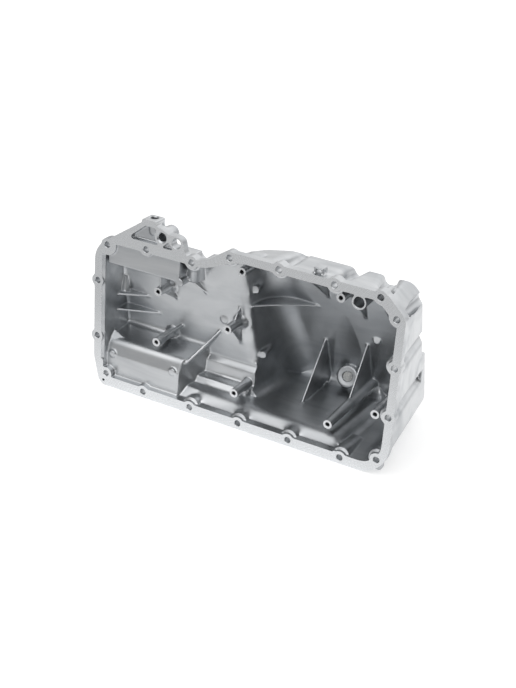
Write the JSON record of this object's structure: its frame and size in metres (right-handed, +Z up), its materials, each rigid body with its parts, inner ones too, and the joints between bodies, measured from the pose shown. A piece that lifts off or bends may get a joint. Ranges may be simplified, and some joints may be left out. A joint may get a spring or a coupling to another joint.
{
  "type": "engine oil pan",
  "caption": "Die-cast aluminium engine oil pan with a deep sump at one end, a shallow chamber, baffle pillars, stiffening ribs and a drain plug",
  "frame": {"origin": "middle of the bounding box's base, the pan standing on the long edge of its rail", "axes": "+X along the pan from the shallow end to the deep end, +Y from the sealing face into the pan, +Z up"},
  "size_m": [0.3628, 0.1564, 0.208],
  "materials": {
    "cast_aluminium": "as cast, satin, sealing face machined",
    "plug_steel": "zinc plated",
    "washer_aluminium": "plain"
  },
  "bodies": {
    "root": {"pan_casting": "cast_aluminium", "drain_plug": "plug_steel", "plug_washer": "washer_aluminium"}
  },
  "joints": []
}
